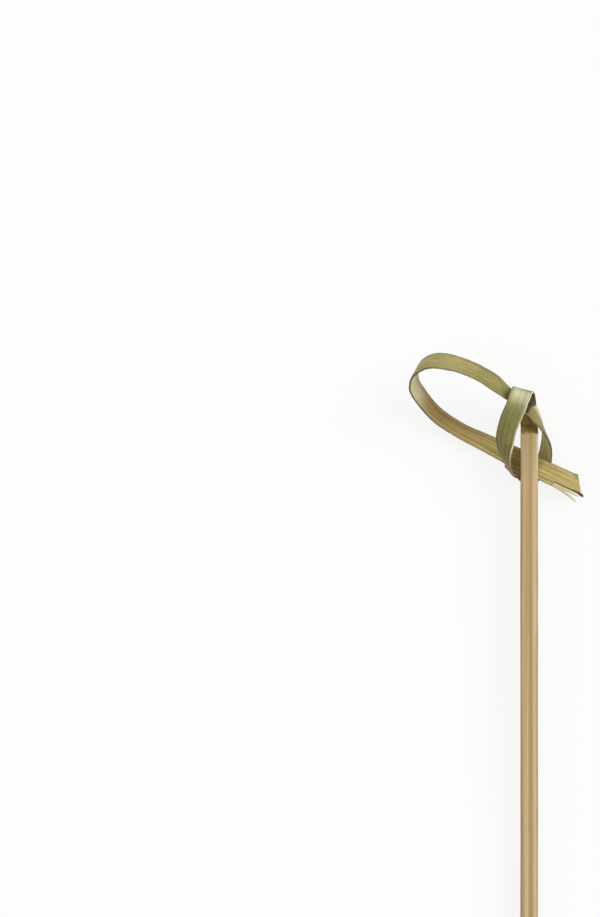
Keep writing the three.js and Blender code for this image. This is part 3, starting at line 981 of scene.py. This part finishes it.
def cut_finish(name, fresh, aged):
    """A cut across or along the fibres: pale where it is fresh and where a painted highlight lies
    along the arch's cut edge, browner where it has aged.
    """
    c = bpy.context.scene.bamboo_colours
    f = Finish(name, aged, fibre_width=0.07, fibre_length=3.0, blotch=0.5)
    f.tint(f.fibres, 0.4, c.fibre)
    f.tint(f.blotches, 0.3, c.flesh_brown)
    f.tint(f.bloom, 1, f.mix(f.part(f.fibres, 0.12), fresh, c.fibre))
    # the darkening is partly browned edges and partly painted shade
    f.tint(f.dark, 1, c.dark)
    return f.done(smoothest=0.55, roughest=0.75, relief_height=0.03 * MM)


def ribbon_finishes():
    """Finishes of the ribbon: skin side, flesh side and cut edges."""
    c, half = bpy.context.scene.bamboo_colours, bpy.context.scene.ribbon_sizes.width / 2 / MM
    return [
        skin_finish("Ribbon skin", half),
        flesh_finish("Ribbon flesh", c.flesh_gold, c.skin_tan, half_width=half),
        cut_finish("Ribbon edge", c.cream, c.flesh_tan),
    ]


def splinter_finishes():
    """Finishes of the splinters: their outer and inner sides and their edges."""
    c = bpy.context.scene.bamboo_colours
    return [
        flesh_finish("Splinter skin", c.flesh_gold, c.skin_tan),
        flesh_finish("Splinter flesh", c.flesh_light, c.flesh_gold, 0.35),
        cut_finish("Splinter edge", c.cream, c.flesh_tan),
    ]


def stick_finishes():
    """Finishes of the stick: split face, split sides, skin at the back and cut ends."""
    c, half = bpy.context.scene.bamboo_colours, bpy.context.scene.stick_sizes.width / 2 / MM
    return [
        stick_face_finish(),
        flesh_finish("Stick side", c.flesh_light, c.flesh_tan, 0.6),
        skin_finish("Stick skin", half, 0.55),
        cut_finish("Stick cut", c.flesh_tan, c.notch),
    ]


def stick_face_finish():
    """The stick's flesh face: tan at the left, browner down its middle, paler at the right."""
    c = bpy.context.scene.bamboo_colours
    f = Finish("Stick face", c.flesh_light, fibre_width=0.14, fibre_length=20.0, blotch=1.4)
    across = f.node("SeparateXYZ", Vector=f.lay).outputs[0]
    place = f.math("ADD", across, f.swing(f.bands, 0.35))
    band = f.math("MULTIPLY", f.span(place, -0.5, -0.15), f.span(place, 0.55, 0.2))
    f.tint(f.bands, 0.4, c.flesh_tan)
    f.tint(f.fibres, 0.28, c.fibre)
    f.tint(f.span(place, 0.2, 0.9), 0.4, c.flesh_light)
    f.tint(band, 0.75, c.flesh_tan)
    f.tint(band, 0.36, c.flesh_brown)
    f.tint(f.span(place, -0.7, -1.05), 0.7, c.grey)
    # painted shade: toward the knot the face is darker and more olive, partly the shade under the
    # knot and partly its own olive tone
    f.tint(f.math("MULTIPLY", f.bloom, f.bands), 0.35, c.flesh_brown)
    f.tint(f.bloom, 0.18, c.skin_olive)
    f.tint(f.specks, 0.15, c.fibre)
    f.tint(f.aged, 1, c.flesh_brown)
    f.tint(f.dark, 1, c.grey)
    return f.done(smoothest=0.48, roughest=0.66, relief_height=0.03 * MM)


def looking(sheet):
    """1 for rays that look at or mirror a thing, 0 for those that only carry its light."""
    rays = sheet.node("LightPath").outputs
    seen = sheet.math("MAXIMUM", rays["Is Camera Ray"], rays["Is Glossy Ray"])
    return sheet.math("MAXIMUM", seen, rays["Is Transmission Ray"])


def make_stage():
    """A pale floor, soft light from all round with two lamps, and the camera of the photograph."""
    scene = bpy.context.scene
    look = scene.stage_look
    floor_mesh = bpy.data.meshes.new("floor")
    half = FLOOR_SIZE / 2
    corners = [(-half, -half, 0), (half, -half, 0), (half, half, 0), (-half, half, 0)]
    floor_mesh.from_pydata(corners, [], [(0, 1, 2, 3)])
    floor = placed("floor", floor_mesh)
    paper = bpy.data.materials.new("Pale floor")
    paper.use_nodes = True
    sheet = Sheet(paper.node_tree)
    amount = sheet.math("MULTIPLY", looking(sheet), 1 - look.shade)
    matt = sheet.node("BsdfDiffuse", Color=(*look.floor, 1))
    white = sheet.node("Emission", Color=(1, 1, 1, 1), Strength=1.0)
    blend = sheet.node("MixShader", i0=amount, i1=matt.outputs[0], i2=white.outputs[0])
    sheet.node("OutputMaterial", Surface=blend.outputs[0])
    floor_mesh.materials.append(paper)

    world = bpy.data.worlds.new("Soft light")
    scene.world = world
    world.use_nodes = True
    sky = Sheet(world.node_tree)
    level = sky.span(looking(sky), 0, 1, look.sky, 1.0)
    light = sky.node("Background", Color=(1, 1, 1, 1), Strength=level)
    sky.node("OutputWorld", Surface=light.outputs[0])

    place = pick_place()
    turn = place.to_3x3()
    # each lamp's place in the pick's own frame, its level and how widely it shines
    for name, towards, level, softness in (
        ("key_lamp", (0.62, 0.3, 0.74), look.key, 35),
        ("fill_lamp", (-0.7, 0.4, 0.65), look.fill, 60),
    ):
        lamp = bpy.data.lights.new(name, "SUN")
        lamp.energy = level * math.pi
        lamp.angle = math.radians(softness)
        holder = placed(name, lamp)
        holder.rotation_mode = "QUATERNION"
        holder.rotation_quaternion = (turn @ Vector(towards)).to_track_quat("Z", "Y")

    camera = bpy.data.cameras.new("photo_camera")
    camera.lens = look.lens
    camera.sensor_width = SENSOR
    camera.clip_start, camera.clip_end = 0.01, 20
    holder = placed("photo_camera", camera)
    right, up = PHOTO_SIZE[0] / 2 - NOTCH_PIXEL[0], NOTCH_PIXEL[1] - PHOTO_SIZE[1] / 2
    distance = PHOTO_SIZE[1] * PHOTO_SCALE * camera.lens / SENSOR
    aim = Vector((right * PHOTO_SCALE, up * PHOTO_SCALE, distance))
    holder.matrix_world = place @ Matrix.Translation(aim)
    scene.camera = holder
    scene.view_settings.view_transform = "Standard"


class PICK_OT_stick(bpy.types.Operator):
    """Make the split stick with its point and notch"""

    bl_idname = "bamboo_pick.stick"
    bl_label = "Split Stick"

    def execute(self, context):
        make_stick()
        return {"FINISHED"}


class PICK_OT_ribbon(bpy.types.Operator):
    """Make the ribbon of skin with its knot, loop and tail"""

    bl_idname = "bamboo_pick.ribbon"
    bl_label = "Knotted Ribbon"

    def execute(self, context):
        make_ribbon()
        return {"FINISHED"}


class PICK_OT_splinters(bpy.types.Operator):
    """Make the splinter and the loose fibres at the tail's end"""

    bl_idname = "bamboo_pick.splinters"
    bl_label = "Tail Splinters"

    def execute(self, context):
        make_splinters()
        return {"FINISHED"}


class PICK_OT_stage(bpy.types.Operator):
    """Make the floor, the light and the camera"""

    bl_idname = "bamboo_pick.stage"
    bl_label = "Floor, Light and Camera"

    def execute(self, context):
        make_stage()
        return {"FINISHED"}


OPERATORS = (PICK_OT_stick, PICK_OT_ribbon, PICK_OT_splinters, PICK_OT_stage)
GROUPS = {
    "stick_sizes": StickSizes,
    "ribbon_sizes": RibbonSizes,
    "tail_sizes": TailSizes,
    "bamboo_colours": BambooColours,
    "stage_look": StageLook,
}


class PICK_PT_panel(bpy.types.Panel):
    """Sizes, colours and pieces of the bamboo pick"""

    bl_label = "Bamboo Pick"
    bl_space_type = "VIEW_3D"
    bl_region_type = "UI"
    bl_category = "Bamboo Pick"

    def draw(self, context):
        for operator in OPERATORS:
            self.layout.operator(operator.bl_idname)
        for name, kind in GROUPS.items():
            box = self.layout.box()
            box.label(text=kind.__doc__)
            for prop in kind.__annotations__:
                box.prop(getattr(context.scene, name), prop)


def register():
    for name, kind in GROUPS.items():
        bpy.utils.register_class(kind)
        setattr(bpy.types.Scene, name, PointerProperty(type=kind))
    for kind in (*OPERATORS, PICK_PT_panel):
        bpy.utils.register_class(kind)


def unregister():
    for kind in (PICK_PT_panel, *reversed(OPERATORS)):
        bpy.utils.unregister_class(kind)
    for name, kind in reversed(GROUPS.items()):
        delattr(bpy.types.Scene, name)
        bpy.utils.unregister_class(kind)


def main():
    register()
    bpy.ops.bamboo_pick.stick()
    bpy.ops.bamboo_pick.ribbon()
    bpy.ops.bamboo_pick.splinters()
    bpy.ops.bamboo_pick.stage()


if __name__ == "__main__":
    main()
